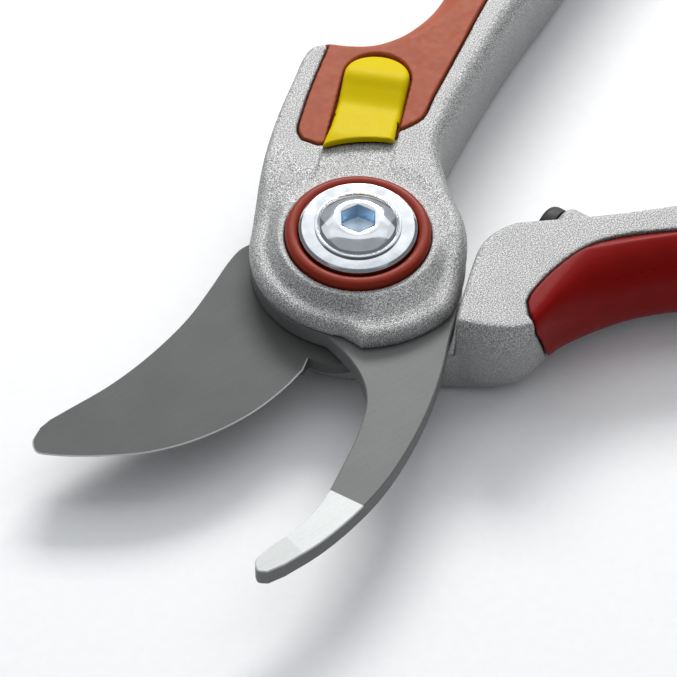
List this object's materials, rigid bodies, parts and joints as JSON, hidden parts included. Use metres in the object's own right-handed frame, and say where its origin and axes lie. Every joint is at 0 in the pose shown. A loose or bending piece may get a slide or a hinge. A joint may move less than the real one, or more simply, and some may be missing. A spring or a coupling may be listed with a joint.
{
  "type": "pruning shears",
  "caption": "Bypass pruning shears with cast levers, a hooked counter-blade, a thumb lock and a sprung pivot.",
  "frame": {"origin": "centre of the pivot bolt's flat end, on the pivot axis, in the plane the shears lie on", "axes": "+X between the two handles, jaws towards -X; +Z along the pivot axis, bolt head up; +Y on the side of the lever with the thumb lock"},
  "size_m": [0.1975, 0.1395, 0.0241],
  "materials": {
    "cast_aluminium": "sand-blasted, fine sparkle",
    "blade_steel": "satin dark grey",
    "hook_steel": "satin grey with a bright ground tip",
    "zinc": "bright zinc plate",
    "spring_steel": "plain",
    "ring_red": "glossy",
    "upper_grip_red": "satin",
    "lower_grip_red": "glossy",
    "lock_yellow": "satin gloss",
    "black_rubber": "matt"
  },
  "bodies": {
    "upper_lever": {"upper_handle": "cast_aluminium", "upper_grip": "upper_grip_red", "counter_blade": "hook_steel", "counter_blade_screw_1": "zinc", "counter_blade_screw_2": "zinc", "counter_blade_screw_3": "zinc", "pivot_ring": "ring_red", "torsion_spring": "spring_steel", "detent_ball": "zinc", "detent_spring": "spring_steel", "pivot_bolt": "zinc", "pivot_washer": "zinc", "spring_washer": "spring_steel", "pivot_bushing": "zinc", "pivot_nut": "zinc"},
    "lower_lever": {"lower_handle": "cast_aluminium", "lower_grip": "lower_grip_red", "cutting_blade": "blade_steel", "blade_pin_1": "zinc", "blade_pin_2": "zinc", "blade_pin_3": "zinc", "rubber_buffer": "black_rubber"},
    "lock_slide": {"lock_button": "lock_yellow", "lock_tongue": "zinc", "lock_screw": "zinc"}
  },
  "joints": [
    {"name": "pivot_hinge", "type": "hinge", "parent": "upper_lever", "child": "lower_lever", "pos_m": [0, 0, 0], "axis": [0, 0, 1], "range_deg": [0, 43], "stiffness_Nm_per_rad": 0.5, "springref_deg": -17.19, "deforming": ["torsion_spring"]},
    {"name": "lock_travel", "type": "slide", "parent": "upper_lever", "child": "lock_slide", "axis": [-0.7373, -0.6756, 0], "range_m": [0, 0.0045]}
  ]
}
